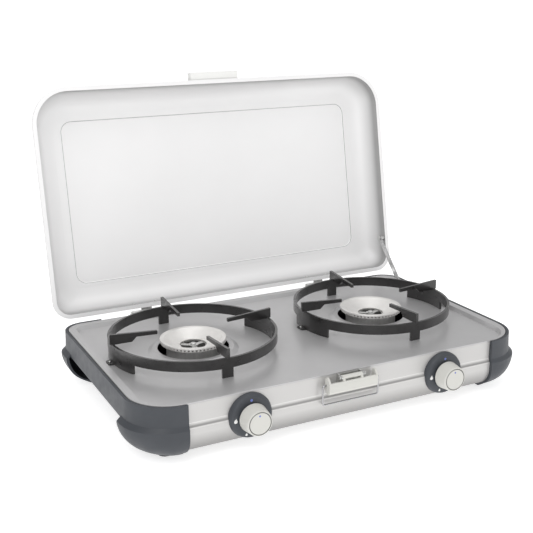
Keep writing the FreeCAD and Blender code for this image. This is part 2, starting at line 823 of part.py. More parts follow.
def gas_rail():
    """Tube from the inlet at the back, round to the two valves behind the front panel."""
    radius = S.rail_radius.value
    x_end = S.inlet_offset.value
    z = S.rail_height.value
    front = -128.0
    back = S.plate_depth.value / 2 - 14.0
    bend = 22.0
    left = -S.knob_offset.value - 12.0
    straight = Part.makeLine(Vector(left, front, z), Vector(x_end - bend, front, z))
    middle = Vector(x_end - bend + bend * math.sqrt(0.5), front + bend - bend * math.sqrt(0.5), z)
    corner = Part.Arc(Vector(x_end - bend, front, z), middle, Vector(x_end, front + bend, z)).toShape()
    rear = Part.makeLine(Vector(x_end, front + bend, z), Vector(x_end, back, z))
    path = Part.Wire([straight, corner, rear])
    rings = []
    for r in (radius, radius - 1.0):
        ring = Part.Wire([Part.Circle(Vector(left, front, z), Vector(1, 0, 0), r).toShape()])
        rings.append(path.makePipeShell([ring], True, True))
    cap = Part.makeCylinder(radius, 1.0, Vector(left - 1.0, front, z), Vector(1, 0, 0))
    node(feature("rail", rings[0].cut(rings[1]).fuse(cap).removeSplitter()), "gas_rail")


def gas_inlet():
    """Threaded stub through the back, and the nut that holds it to the sheet."""
    wall = S.plate_depth / 2
    stub = turned("inlet", [
        (3.0, wall - 14.0),
        (6.0, wall - 14.0),
        (6.0, wall - 6.0),
        (10.0, wall - 6.0),
        (10.0, wall - 0.8),
        (S.bulkhead_radius, wall - 0.8),
        (S.bulkhead_radius, wall + 4.0),
        (S.inlet_radius, wall + 4.0),
        (S.inlet_radius, wall + 18.0),
        (4.5, wall + 18.0),
        (4.5, wall),
        (3.0, wall),
    ])
    node(place(stub, S.inlet_offset, 0.0, S.rail_height, TOWARDS_BACK), "gas_inlet")
    hexagon = []
    for i in range(6):
        angle = math.radians(60 * i)
        hexagon.append((12.5 * math.cos(angle), 12.5 * math.sin(angle)))
    blank = extruded("nut_blank", "XY_Plane", hexagon, 0.0, 4.0)
    nut = cut("nut", blank, place(cylinder("nut_bore", S.bulkhead_radius, 6.0), 0.0, 0.0, -1.0))
    node(place(nut, S.inlet_offset, wall, S.rail_height, TOWARDS_BACK), "inlet_nut")


# ------------------------------------------------------------------ pan supports


def ring_sector(name, outer, inner, low, high, centre_angle, spread):
    """Part of a ring, between two heights, centred on an angle seen from above."""
    turn = Rotation(Vector(0, 0, 1), centre_angle - spread / 2)
    pieces = []
    for radius, bottom, rise in ((outer, low, high - low), (inner, low - 1.0, high - low + 2.0)):
        sector = cylinder("sector", radius, rise)
        sector.Angle = spread
        pieces.append(place(sector, 0.0, 0.0, bottom, turn))
    pieces[1].Angle = 360.0
    return cut(name, pieces[0], pieces[1])


def support_finger(angle):
    """Flat finger: tall over the hoop, with a narrow bar reaching in over the burner."""
    hoop = S.hoop_radius
    top = S.finger_top
    corners = [
        (hoop - S.hoop_wall, S.hoop_top - 4.0),
        (hoop, S.hoop_top - 4.0),
        (hoop, S.hoop_top),
        (hoop + 2.2, S.hoop_top),
        (hoop + 2.2, top),
        (hoop + 0.6, top),
        (46.0, top - 4.2),
        (46.0, top - 8.6),
        (hoop - 31.0, top - 7.4),
        (hoop - 25.0, S.hoop_top - 0.8),
        (hoop - S.hoop_wall, S.hoop_top - 0.8),
    ]
    finger = extruded("finger", "XZ_Plane", corners, -1.7, 3.4)
    finger.Placement = Placement(Vector(), Rotation(Vector(0, 0, 1), angle))
    return finger


def support_lug(angle):
    """Flat ear at the foot of a skirt, with the hole that drops over a locating stud."""
    low = S.rim_height - S.tray_depth
    corners = [(-7.0, 101.5), (7.0, 101.5), (7.0, 106.5), (5.0, 109.0), (-5.0, 109.0), (-7.0, 106.5)]
    ear = extruded("ear", "XY_Plane", [(reach, across) for across, reach in corners], low, 1.8)
    hole = place(cylinder("ear_hole", 2.0, 5.0), S.lug_reach, 0.0, low - 1.0)
    lug = cut("lug", ear, hole)
    lug.Placement = Placement(Vector(), Rotation(Vector(0, 0, 1), angle))
    return lug


def pan_support(name, side):
    """Welded steel hoop on two tabs and two skirts, with four fingers for the pan."""
    outer = S.hoop_radius
    inner = outer - S.hoop_wall
    plate = S.rim_height - S.tray_depth
    band = S.hoop_top - S.hoop_height
    pieces = [ring_sector("hoop", outer, inner, band, S.hoop_top, 0.0, 360.0)]
    for angle in (90.0, 270.0):
        pieces.append(ring_sector("tab", outer, inner, plate, band + 2.0, angle, 7.6))
    for angle in (7.0, 187.0):
        pieces.append(ring_sector("skirt", outer, inner, plate, band + 2.0, angle, 38.0))
    for angle in (0.0, 180.0):
        pieces.append(support_lug(angle))
    for angle in (0.0, 90.0, 180.0, 270.0):
        pieces.append(support_finger(angle))
    support = fused("support", pieces)
    support.Refine = True
    node(place(support, side * S.burner_offset, S.burner_back, 0.0), f"pan_support_{name}")


def support_studs():
    """Locating studs on the hob plate that the lugs drop over."""
    studs = []
    floor = S.rim_height - S.tray_depth
    for _, side in both_sides():
        for outward in (-1, 1):
            stud = turned("stud", [
                (0.0, 0.0),
                (1.5, 0.0),
                (1.5, 2.6),
                (0.9, 3.4),
                (0.0, 3.4),
            ])
            x = side * S.burner_offset + outward * S.lug_reach
            studs.append(place(stud, x, S.burner_back, floor))
    node(group("studs", studs), "support_studs")


# ------------------------------------------------------------------ controls


def knob_bezel(name, side):
    """Domed disc on the front panel, thicker above the panel's step."""
    front = S.plate_depth / 2
    disc = turned("bezel_disc", [
        (7.2, front - 4.0),
        (S.bezel_radius, front - 4.0),
        (S.bezel_radius, front + 2.6),
        (S.bezel_radius - 0.9, front + 5.2),
        (S.bezel_radius - 1.9, front + 6.8),
        (S.bezel_radius - 3.2, front + 7.6),
        (7.2, front + 8.0),
    ])
    place(disc, side * S.knob_offset, 0.0, S.knob_height, TOWARDS_FRONT)
    outer, _ = body_shell_section()
    panel = feature("panel_solid", outer.extrude(Vector(80, 0, 0)))
    place(panel, side * S.knob_offset - 40.0, 0.0, 0.0)
    node(cut("bezel_cut", disc, panel), f"knob_bezel_{name}")


def knob(name, side):
    """Tapered hollow knob with a ring groove in its face, on the valve's spindle."""
    base = S.plate_depth / 2 + 10.1
    face = base + S.knob_length
    outer = turned("knob_turned", [
        (3.0, base + 3.0),
        (6.0, base + 3.0),
        (6.0, face - 3.0),
        (S.knob_face - 3.0, face - 3.0),
        (S.knob_base - 2.6, base),
        (S.knob_base - 0.4, base),
        (S.knob_base, base + 0.6),
        (S.knob_base - 0.3, base + 3.0),
        (S.knob_face + 0.5, face - 1.6),
        (S.knob_face, face - 0.5),
        (S.knob_face - 0.7, face),
        (13.2, face),
        (13.2, face - 1.5),
        (12.3, face - 1.5),
        (12.3, face),
        (0.0, face),
        (0.0, face - 4.0),
        (3.0, face - 4.0),
    ])
    node(place(outer, side * S.knob_offset, 0.0, S.knob_height, TOWARDS_FRONT), f"knob_{name}")
    spindle = turned("spindle", [
        (0.0, 128.2),
        (2.5, 128.2),
        (2.5, 141.2),
        (3.0, 141.2),
        (3.0, face - 4.0),
        (0.0, face - 4.0),
    ])
    place(spindle, side * S.knob_offset, 0.0, S.knob_height, TOWARDS_FRONT)
    node(spindle, f"valve_spindle_{name}")


# ------------------------------------------------------------------ latch

LATCH_AXLE = (-156.5, 67.0)
BAIL_PIVOT = (-154.5, 60.0)
LEVER_HALF = 32.0
BAIL_HALF = 36.5
BAIL_REACH = 23.0
WIRE = 1.1


def latch_bracket():
    """Pressed bracket riveted to the front panel, with two ears that hold the axle."""
    axle_y, axle_z = LATCH_AXLE
    panel = -S.plate_depth / 2
    base = box("bracket_base", S.latch_offset - 15.0, panel - 1.2, 52.0, 30.0, 1.2, 16.0)
    pieces = [base]
    for side in (-1, 1):
        x = S.latch_offset + side * 14.25 - 0.75
        web = box("ear_web", x, axle_y, axle_z - 2.8, 1.5, panel - axle_y, 5.0)
        tip = place(cylinder("ear_round", 2.8, 1.5), x, axle_y, axle_z, ALONG_X)
        pieces += [web, tip]
    bore = place(cylinder("ear_bore", 1.5, 40.0), S.latch_offset - 20.0, axle_y, axle_z, ALONG_X)
    node(cut("bracket_bored", fused("bracket_blank", pieces), bore), "latch_bracket")


def latch_axle():
    axle_y, axle_z = LATCH_AXLE
    pieces = [
        place(cylinder("axle_pin", 1.5, 32.0), S.latch_offset - 16.0, axle_y, axle_z, ALONG_X),
        place(cylinder("axle_head", 2.4, 1.2), S.latch_offset - 17.2, axle_y, axle_z, ALONG_X),
        place(cylinder("axle_peen", 2.4, 1.2), S.latch_offset + 16.0, axle_y, axle_z, ALONG_X),
    ]
    node(fused("axle", pieces), "latch_axle")


def latch_rivets():
    """Two rivets through the latch bracket's base."""
    panel = -S.plate_depth / 2
    rivets = []
    for side in (-1, 1):
        rivet = turned("rivet", [(0.0, 0.0), (2.4, 0.0), (1.8, 0.9), (0.8, 1.3), (0.0, 1.4)])
        rivets.append(place(rivet, S.latch_offset + side * 8.0, panel - 1.2, 56.0, TOWARDS_FRONT))
    node(group("latch_rivet_pair", rivets), "latch_rivets")


def latch_lever():
    """Moulded lever: a curved front wall, two end walls and a boss round the axle."""
    axle_y, axle_z = LATCH_AXLE
    bail_y, bail_z = BAIL_PIVOT
    left = S.latch_offset - LEVER_HALF
    wall = extruded("lever_wall", "YZ_Plane", [
        (-159.0, 63.5),
        (-161.0, 63.5),
        (-161.6, 60.0),
        (-161.6, 53.0),
        (-160.4, 50.6),
        (-158.0, 49.6),
        (-156.0, 49.8),
        (-156.0, 51.6),
        (-158.2, 52.0),
        (-159.2, 54.0),
        (-159.2, 60.0),
    ], left, 2 * LEVER_HALF)
    pieces = [wall]
    end_outline = [
        (-161.5, 63.5),
        (-158.0, 68.2),
        (-156.4, 69.4),
        (-153.6, 69.4),
        (-151.6, 67.0),
        (-151.6, 55.0),
        (-154.0, 51.0),
        (-158.0, 49.7),
        (-160.4, 50.7),
        (-161.5, 53.0),
    ]
    for start in (left, S.latch_offset + LEVER_HALF - 2.4):
        pieces.append(extruded("lever_end", "YZ_Plane", end_outline, start, 2.4))
    pieces.append(place(
        cylinder("lever_boss", 2.5, 26.4), S.latch_offset - 13.2, axle_y, axle_z, ALONG_X
    ))
    web = [(-160.0, 60.0), (-159.0, 60.0), (axle_y + 1.2, 65.2), (axle_y - 2.4, 66.6), (-160.6, 63.4)]
    for start in (S.latch_offset - 13.2, S.latch_offset + 10.2):
        pieces.append(extruded("lever_web", "YZ_Plane", web, start, 3.0))
    blank = fused("lever_blank", pieces)
    bores = [
        place(cylinder("axle_bore", 1.55, 40.0), S.latch_offset - 20.0, axle_y, axle_z, ALONG_X),
        place(cylinder("bail_bore", WIRE + 0.06, 80.0), S.latch_offset - 40.0, bail_y, bail_z, ALONG_X),
    ]
    node(cut("lever_bored", blank, fused("lever_bores", bores)), "latch_lever")


def wire_along(points, bend, radius):
    """Round wire along straight runs with an arc of one radius at each corner."""
    edges = []
    start = points[0]
    for i in range(1, len(points) - 1):
        corner = points[i]
        into = (corner - points[i - 1]).normalize()
        out = (points[i + 1] - corner).normalize()
        turn = math.acos(into.dot(out))
        reach = bend * math.tan(turn / 2)
        first = corner - into * reach
        last = corner + out * reach
        towards = (out - into).normalize()
        middle = corner + towards * (bend / math.cos(turn / 2) - bend)
        edges.append(Part.makeLine(start, first))
        edges.append(Part.Arc(first, middle, last).toShape())
        start = last
    edges.append(Part.makeLine(start, points[-1]))
    path = Part.Wire(edges)
    ring = Part.Wire([Part.Circle(points[0], (points[1] - points[0]).normalize(), radius).toShape()])
    return path.makePipeShell([ring], True, True)


def latch_bail():
    """Wire bail whose ends turn in through the lever's end walls."""
    y, z = BAIL_PIVOT
    x = S.latch_offset.value
    inner = LEVER_HALF - 4.0
    low = z - BAIL_REACH
    shape = wire_along([
        Vector(x - inner, y, z),
        Vector(x - BAIL_HALF, y, z),
        Vector(x - BAIL_HALF, y, low),
        Vector(x + BAIL_HALF, y, low),
        Vector(x + BAIL_HALF, y, z),
        Vector(x + inner, y, z),
    ], 2.6, WIRE)
    node(feature("bail", shape), "latch_bail")


# ------------------------------------------------------------------ hinges and lid


def hinge_bar(name, x_from, x_to, path):
    """A hinge leaf's flat strip and its knuckle, between two places along the axis."""
    y, z = S.hinge_back, S.hinge_height
    length = x_to - x_from
    strip = extruded(f"{name}_strip", "YZ_Plane", sheet_strip(path, 1.2), x_from, length)
    knuckle = place(cylinder(f"{name}_knuckle", S.knuckle_radius, length), x_from, y, z, ALONG_X)
    return [strip, knuckle]


def hinge(name, side):
    """Body leaf with two knuckles, lid leaf with one between them, and the pin."""
    y, z = S.hinge_back, S.hinge_height
    middle = side * S.hinge_offset
    half = S.hinge_length / 2
    gap = 0.4
    third = S.hinge_length / 6
    wall = S.plate_depth.value / 2
    body_path = [
        (wall + 0.6, 48.0),
        (wall + 0.6, 60.0),
        (y.value - 0.6, z.value - 1.6),
    ]
    pieces = hinge_bar("body_leaf", middle - half, middle - third - gap, body_path)
    pieces += hinge_bar("body_leaf", middle + third + gap, middle + half, body_path)
    pieces.append(box("body_leaf_plate", middle - half, wall, 48.0, S.hinge_length, 1.2, 10.0))
    bore = place(cylinder("leaf_bore", S.pin_radius, S.hinge_length + 4.0), middle - half - 2.0, y, z, ALONG_X)
    node(cut("body_leaf_bored", fused("body_leaf_blank", pieces), bore), f"hinge_body_leaf_{name}")
    lid_wall = S.lid_rear.value - S.lid_flange.value + SKIN_GAP
    rim = z.value + 4.7
    lid_path = [
        (y.value + 0.6, z.value + 2.2),
        (y.value - 2.0, rim),
        (lid_wall + 0.6, rim),
        (lid_wall + 0.6, rim + 12.0),
    ]
    leaf = hinge_bar("lid_leaf", middle - third, middle + third, lid_path)
    leaf.append(box("lid_leaf_plate", middle - half, lid_wall, rim + 2.0, S.hinge_length, 1.2, 10.0))
    lid_bore = place(
        cylinder("lid_leaf_bore", S.pin_radius + 0.05, S.hinge_length), middle - half, y, z, ALONG_X
    )
    bored = cut("lid_leaf_bored", fused("lid_leaf_blank", leaf), lid_bore)
    node(opened(bored), f"hinge_lid_leaf_{name}")
    pin = [
        place(cylinder("pin", S.pin_radius, S.hinge_length + 1.0), middle - half - 0.5, y, z, ALONG_X),
        place(cylinder("pin_head", 2.8, 1.0), middle - half - 1.5, y, z, ALONG_X),
        place(cylinder("pin_peen", 2.8, 1.0), middle + half + 0.5, y, z, ALONG_X),
    ]
    node(fused("hinge_pin_shape", pin), f"hinge_pin_{name}")


LID_WALL = 8.0
LID_SWEEP = 28.0
LID_HEIGHTS = (0.0, 4.0, 8.0, 15.0, 21.0, 26.0, 30.0, 33.0, 35.0, 36.0)


def drawn_in(height):
    """How far the lid's wall has curved inwards at a height above its rim."""
    rise = max(height - LID_WALL, 0.0) / LID_SWEEP
    return LID_SWEEP * (1.0 - math.sqrt(1.0 - rise * rise))


def lid_outline(sketch, inset, front_radius, rear_radius):
    draw_rounded(
        sketch,
        inset - S.lid_width / 2,
        S.lid_width / 2 - inset,
        S.lid_rear - S.lid_depth + inset,
        S.lid_rear - inset,
        front_radius,
        rear_radius,
    )


def lid_stack(body, kind, inset, drop, low):
    """Loft the lid's soft walls, drawn in and lowered by the thickness of the sheet."""
    sketches = []
    rim = S.rim_height + S.lid_gap
    for height in LID_HEIGHTS:
        drawn = drawn_in(height)
        level = low if height == 0.0 else height - drop * height / S.lid_height.value
        sketch = new_sketch(body, "XY_Plane", rim + level)
        front = S.front_corner.value + 1.0 - S.lid_flange.value - inset - 0.45 * drawn
        rear = max(S.rear_corner.value - S.lid_flange.value - inset - 0.1 * drawn, 15.0)
        lid_outline(sketch, S.lid_flange + inset + drawn, front, rear)
        sketches.append(sketch)
    add_loft(body, kind, sketches)


def lid_panel(body, kind, inset, low, high):
    """The flat rectangle pressed outwards in the lid's top."""
    rim = S.rim_height + S.lid_gap
    sketches = []
    for level, draw in ((low, 0.0), (high, 3.0)):
        sketch = new_sketch(body, "XY_Plane", rim + level)
        edge = inset + draw
        rear = S.lid_rear - 36.5 - edge
        front = S.lid_rear - 257.7 + edge
        draw_rounded(sketch, edge - 218.0, 218.0 - edge, front, rear, 16.0 - draw, 16.0 - draw)
        sketches.append(sketch)
    add_loft(body, kind, sketches)


def lid_shell():
    """Deep-drawn lid: soft walls, a pressed panel and a flat rim with a hem."""
    body = new_body("lid_body")
    gauge = LID_GAUGE
    rim = S.rim_height + S.lid_gap
    lid_stack(body, "Additive", 0.0, 0.0, 0.0)
    lid_panel(body, "Additive", 0.0, S.lid_height.value - 0.5, S.lid_height.value + 1.6)
    lid_stack(body, "Subtractive", gauge, gauge, -0.5)
    lid_panel(body, "Subtractive", gauge, S.lid_height.value - 2.0, S.lid_height.value + 0.7)
    corner = S.front_corner + 1.0
    hem = 1.1
    for width, rise in ((S.lid_flange + 0.4, gauge), (as_size(hem), 2 * hem)):
        ring = new_sketch(body, "XY_Plane", rim)
        lid_outline(ring, 0.0, corner, S.rear_corner)
        lid_outline(ring, width, corner - width, S.rear_corner - width)
        add_pad(body, ring, rise)
    node(opened(body), "lid_shell")


def lid_catch():
    """Moulded catch on the lid's front edge, with the groove that holds the bail."""
    bar = BAIL_PIVOT[1] + BAIL_REACH
    rim = S.rim_height.value + S.lid_gap.value
    front = S.lid_rear.value - S.lid_depth.value
    wall = front + S.lid_flange.value
    blank = extruded("catch", "YZ_Plane", [
        (wall + 0.45, rim + 2.5),
        (front - 1.0, rim + 2.5),
        (front - 9.6, rim + 1.4),
        (front - 10.5, rim + 2.4),
        (front - 10.5, bar - 0.4),
        (front - 9.8, bar + 0.2),
        (front - 8.9, bar - 0.2),
        (front - 8.4, bar - WIRE - 0.4),
        (front - 4.8, bar - WIRE - 0.4),
        (front - 2.4, bar + 1.0),
        (wall + 0.6, bar + 1.8),
        (wall + 0.45, rim + 8.0),
    ], S.latch_offset - 35.0, 70.0)
    node(cut("catch_fitted", opened(blank), found("lid_shell")), "lid_catch")


def lid_rivets():
    """Rivets through the lid's rear wall into the hinge leaves, heads inside the lid."""
    rivets = []
    wall = S.lid_rear - S.lid_flange
    height = S.hinge_height + 10.0
    for _, side in both_sides():
        for along in (-15.9, 15.9):
            rivet = turned("lid_rivet", [
                (0.0, 0.0),
                (1.2, 0.0),
                (1.2, 0.9),
                (2.4, 0.9),
                (2.2, 2.0),
                (1.2, 2.8),
                (0.0, 3.0),
            ])
            x = side * S.hinge_offset + along
            rivets.append(place(rivet, x, wall, height, TOWARDS_FRONT))
    node(opened(group("lid_rivet_set", rivets)), "lid_rivets")


def stay_screw():
    """Shouldered screw through the lid's side wall that the stay turns on."""
    y, z = STAY_PIVOT
    wall = (S.lid_width / 2 - S.lid_flange).value - LID_GAUGE - SKIN_GAP
    head = 1.2
    start = STAY_X - 0.2 - head
    shoulder = STAY_X + STAY_THICKNESS + 0.2 - start
    screw = turned("stay_screw_body", [
        (0.0, 0.0),
        (3.8, 0.0),
        (3.8, head),
        (2.2, head),
        (2.2, shoulder),
        (3.5, shoulder),
        (3.5, wall - start),
        (0.0, wall - start),
    ])
    at = Placement(Vector(start, y, z), ALONG_X)
    screw.Placement = at
    node(opened(screw), "stay_screw")


def lid_stay():
    """Flat strip from the screw in the lid down through the slot in the hob plate."""
    half = S.stay_width / 2
    strip = box("stay_strip", STAY_X, 0.0, -half, STAY_THICKNESS, S.stay_length - half, S.stay_width)
    ends = [
        place(cylinder("stay_eye", half, STAY_THICKNESS), STAY_X, 0.0, 0.0, ALONG_X),
        place(cylinder("stay_tail", half, STAY_THICKNESS), STAY_X, S.stay_length - half, 0.0, ALONG_X),
    ]
    bore = place(cylinder("stay_bore", 2.25, 6.0), STAY_X - 2.0, 0.0, 0.0, ALONG_X)
    stay = cut("stay_bored", fused("stay_blank", [strip] + ends), bore)
    y, z = STAY_PIVOT
    pivot = OPEN.multVec(Vector(0, y, z))
    stay.Placement = Placement(pivot, Rotation(Vector(1, 0, 0), 180.0 + STAY_DIRECTION))
    node(stay, "lid_stay")


# ------------------------------------------------------------------ build and write


def check_document():
    """Stop unless every object recomputed and every piece is a valid solid."""
    DOC.recompute()
    faults = [o.Label for o in DOC.Objects if "Invalid" in o.State or "Error" in o.State]
    for piece in NODES:
        shape = piece.Shape
        if shape.isNull() or not shape.isValid() or not shape.Solids:
            faults.append(piece.Label)
    if faults:
        raise RuntimeError(f"these objects failed: {faults}")


def main():
    hob_plate()
    body_shell()
    cheeks()
    foot_pads()
    cheek_screws()
    gas_rail()
    gas_inlet()
    for name, side in both_sides():
        burner_cup(name, side)
        burner_cap(name, side)
        burner_vane(name, side)
        burner_screw(name, side)
        mixing_tube(name, side)
        burner_bracket(name, side)
        valve(name, side)
        knob_bezel(name, side)
        knob(name, side)
        pan_support(name, side)
        hinge(name, side)
    support_studs()
    latch_bracket()
    latch_axle()
    latch_rivets()
    latch_lever()
    latch_bail()
    lid_shell()
    lid_catch()
    lid_rivets()
    stay_screw()
    lid_stay()
    check_document()
    os.makedirs("parts", exist_ok=True)
    for piece in NODES:
        piece.Shape.exportStep(f"parts/{piece.Label}.step")


main()
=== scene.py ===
import json
import math
import random

import bmesh
import bpy
from mathutils import Matrix, Vector


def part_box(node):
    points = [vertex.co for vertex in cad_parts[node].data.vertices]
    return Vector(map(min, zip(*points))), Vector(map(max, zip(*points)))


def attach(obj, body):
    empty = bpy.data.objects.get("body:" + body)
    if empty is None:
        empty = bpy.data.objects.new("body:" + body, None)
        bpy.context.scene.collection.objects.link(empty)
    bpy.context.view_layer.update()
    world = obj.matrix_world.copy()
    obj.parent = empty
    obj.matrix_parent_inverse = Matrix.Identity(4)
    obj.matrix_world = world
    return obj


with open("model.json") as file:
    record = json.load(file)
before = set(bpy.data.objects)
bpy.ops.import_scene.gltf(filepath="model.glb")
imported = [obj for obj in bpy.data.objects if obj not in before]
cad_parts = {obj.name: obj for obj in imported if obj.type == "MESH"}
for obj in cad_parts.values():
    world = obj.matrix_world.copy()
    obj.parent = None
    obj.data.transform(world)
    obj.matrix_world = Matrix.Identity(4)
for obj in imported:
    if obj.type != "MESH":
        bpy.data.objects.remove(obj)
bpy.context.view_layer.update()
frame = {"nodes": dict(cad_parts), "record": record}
NODES = frame["nodes"]
MM = 0.001

# ------------------------------------------------------------------ helpers


def middle_of(node):
    low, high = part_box(node)
    return (low + high) / 2


def scaled(colour, factor):
    return [c * factor for c in colour]


# ------------------------------------------------------------------ camera


def add_camera():
    """Camera to the front left of the stove, looking down on it, level to within half a degree."""
    yaw = math.radians(26.65)
    pitch = math.radians(16.29)
    roll = math.radians(-0.37)
    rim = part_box("hob_plate")[1].z
    place = Vector((-0.5303, -0.9933, 0.413 + rim))
    forward = Vector((
        math.sin(yaw) * math.cos(pitch),
        math.cos(yaw) * math.cos(pitch),
        -math.sin(pitch),
    ))
    level = Vector((math.cos(yaw), -math.sin(yaw), 0.0))
    upright = level.cross(forward)
    right = math.cos(roll) * level + math.sin(roll) * upright
    up = math.cos(roll) * upright - math.sin(roll) * level
    turn = Matrix((right, up, -forward)).transposed().to_4x4()
    data = bpy.data.cameras.new("camera")
    data.sensor_width = 36.0
    data.lens = 63.62
    data.clip_start = 0.05
    data.clip_end = 2000.0
    camera = bpy.data.objects.new("camera", data)
    camera.matrix_world = Matrix.Translation(place) @ turn
    bpy.context.scene.collection.objects.link(camera)
    bpy.context.scene.camera = camera


# ------------------------------------------------------------------ shader helper


class Shader:
    """A Principled material with a few helpers for procedural inputs.

    Patterns use object coordinates, which are metres in the stove's own frame.
    """

    def __init__(self, name, metallic=0.0):
        self.material = bpy.data.materials.new(name)
        self.material.use_nodes = True
        self.tree = self.material.node_tree
        self.bsdf = self.tree.nodes["Principled BSDF"]
        self.bsdf.inputs["Metallic"].default_value = metallic
        self.place = self.node("ShaderNodeTexCoord").outputs["Object"]

    def node(self, kind, **settings):
        made = self.tree.nodes.new(kind)
        for key, value in settings.items():
            setattr(made, key, value)
        return made

    def join(self, source, target):
        self.tree.links.new(source, target)

    def stretched(self, stretch):
        """Coordinates scaled along each axis."""
        mapping = self.node("ShaderNodeMapping", vector_type="POINT")
        mapping.inputs["Scale"].default_value = stretch
        self.join(self.place, mapping.inputs["Vector"])
        return mapping.outputs["Vector"]

    def noise(self, scale, detail=2.0, rough=0.5, vector=None):
        made = self.node("ShaderNodeTexNoise")
        made.inputs["Scale"].default_value = scale
        made.inputs["Detail"].default_value = detail
        made.inputs["Roughness"].default_value = rough
        self.join(self.place if vector is None else vector, made.inputs["Vector"])
        return made.outputs["Fac"]

    def ramp(self, source, stops):
        """Map 0..1 to colours or greys. stops are (position, colour or grey)."""
        made = self.node("ShaderNodeValToRGB")
        ramp = made.color_ramp
        while len(ramp.elements) < len(stops):
            ramp.elements.new(0.5)
        for element, (at, colour) in zip(ramp.elements, stops):
            element.position = at
            colour = colour if hasattr(colour, "__len__") else (colour, colour, colour)
            element.color = (*colour[:3], 1.0)
        self.join(source, made.inputs["Fac"])
        return made.outputs["Color"]

    def math(self, operation, *values):
        made = self.node("ShaderNodeMath", operation=operation)
        for socket, value in zip(made.inputs, values):
            if isinstance(value, bpy.types.NodeSocket):
                self.join(value, socket)
            else:
                socket.default_value = value
        return made.outputs[0]

    def vector_math(self, operation, source, by=None):
        made = self.node("ShaderNodeVectorMath", operation=operation)
        self.join(source, made.inputs[0])
        if by is not None:
            made.inputs[1].default_value = by
        return made

    def along(self, axis):
        """The coordinate along X, Y or Z."""
        parts = self.node("ShaderNodeSeparateXYZ")
        self.join(self.place, parts.inputs[0])
        return parts.outputs[axis]

    def base_colour(self, source):
        self.join(source, self.bsdf.inputs["Base Color"])

    def choose(self, first, second, where):
        """first, or second where the last input is 1."""
        blend = self.node("ShaderNodeMix", data_type="RGBA")
        self.join(where, blend.inputs["Factor"])
        self.join(first, blend.inputs["A"])
        self.join(second, blend.inputs["B"])
        return blend.outputs["Result"]

    def multiplied(self, first, second):
        blend = self.node("ShaderNodeMix", data_type="RGBA", blend_type="MULTIPLY")
        blend.inputs["Factor"].default_value = 1.0
        self.join(first, blend.inputs["A"])
        self.join(second, blend.inputs["B"])
        return blend.outputs["Result"]

    def colour(self, base, spread, scale):
        """Base colour that drifts between a little darker and a little lighter."""
        dark = scaled(base, 1 - spread)
        light = [min(c, 1.0) for c in scaled(base, 1 + spread)]
        self.base_colour(self.ramp(self.noise(scale, 4.0, 0.55), [(0.3, dark), (0.7, light)]))

    def roughness(self, low, high, scale):
        drift = self.noise(scale, 5.0, 0.6)
        self.join(self.ramp(drift, [(0.3, low), (0.7, high)]), self.bsdf.inputs["Roughness"])

    def bump(self, heights):
        """Bumps on top of each other: (height source, strength, distance in metres)."""
        normal = None
        for height, strength, distance in heights:
            made = self.node("ShaderNodeBump")
            made.inputs["Strength"].default_value = strength
            made.inputs["Distance"].default_value = distance
            self.join(height, made.inputs["Height"])
            if normal is not None:
                self.join(normal, made.inputs["Normal"])
            normal = made.outputs["Normal"]
        self.join(normal, self.bsdf.inputs["Normal"])

    def orange_peel(self, flake, peel):
        """The fine flake grain and the wider peel of sprayed paint, by their strengths."""
        self.bump([(self.noise(1400.0), flake, 0.00004), (self.noise(260.0), peel, 0.00006)])


# ------------------------------------------------------------------ paints


def satin_paint(name, base, low, high, peel=0.08, metallic=0.3):
    """Sprayed satin metal: fine orange peel, flake grain and slow drifts in tone."""
    s = Shader(name, metallic)
    s.colour(base, 0.025, 9.0)
    s.roughness(low, high, 40.0)
    s.orange_peel(peel, peel * 0.6)
    return s.material


def sheet_paint(name, base, painted_bottom_shade):
    """Satin silver on the body sheet, with painted shade that darkens it towards the bottom, where it
    turns beneath the stove.

    On the front, painted highlights and painted shade follow the real fold: a light edge, a dark line,
    then a second light edge.
    """
    s = Shader(name, 0.35)
    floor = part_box("body_shell")[0].z
    reach = 60.0
    height = s.math("MULTIPLY_ADD", s.along("Z"), 1.0 / (reach * MM), -floor / (reach * MM))
    drift = s.math("ADD", height, s.math("MULTIPLY", s.noise(9.0, 4.0), 0.004))
    # painted highlight along the fold's two edges
    painted_fold_highlight = [min(c, 0.95) for c in scaled(base, 1.3)]
    # painted shade in the line along the fold
    dark = scaled(base, 0.6)
    # the back: painted shade towards the bottom only
    plain = [(0.0, painted_bottom_shade), (27.0, base), (reach, base)]
    # the front: painted shade towards the bottom, then the fold's painted highlights and painted shade
    fold = [
        (0.0, painted_bottom_shade),
        (27.0, base),
        (33.12, base),
        (33.48, painted_fold_highlight),
        (34.32, painted_fold_highlight),
        (34.8, dark),
        (36.0, dark),
        (37.2, base),
        (38.16, painted_fold_highlight),
        (39.3, painted_fold_highlight),
        (40.08, base),
    ]
    front = s.ramp(drift, [(above / reach, tone) for above, tone in fold])
    back = s.ramp(drift, [(above / reach, tone) for above, tone in plain])
    s.base_colour(s.choose(front, back, s.math("GREATER_THAN", s.along("Y"), 0.0)))
    s.roughness(0.32, 0.42, 40.0)
    s.orange_peel(0.12, 0.08)
    return s.material


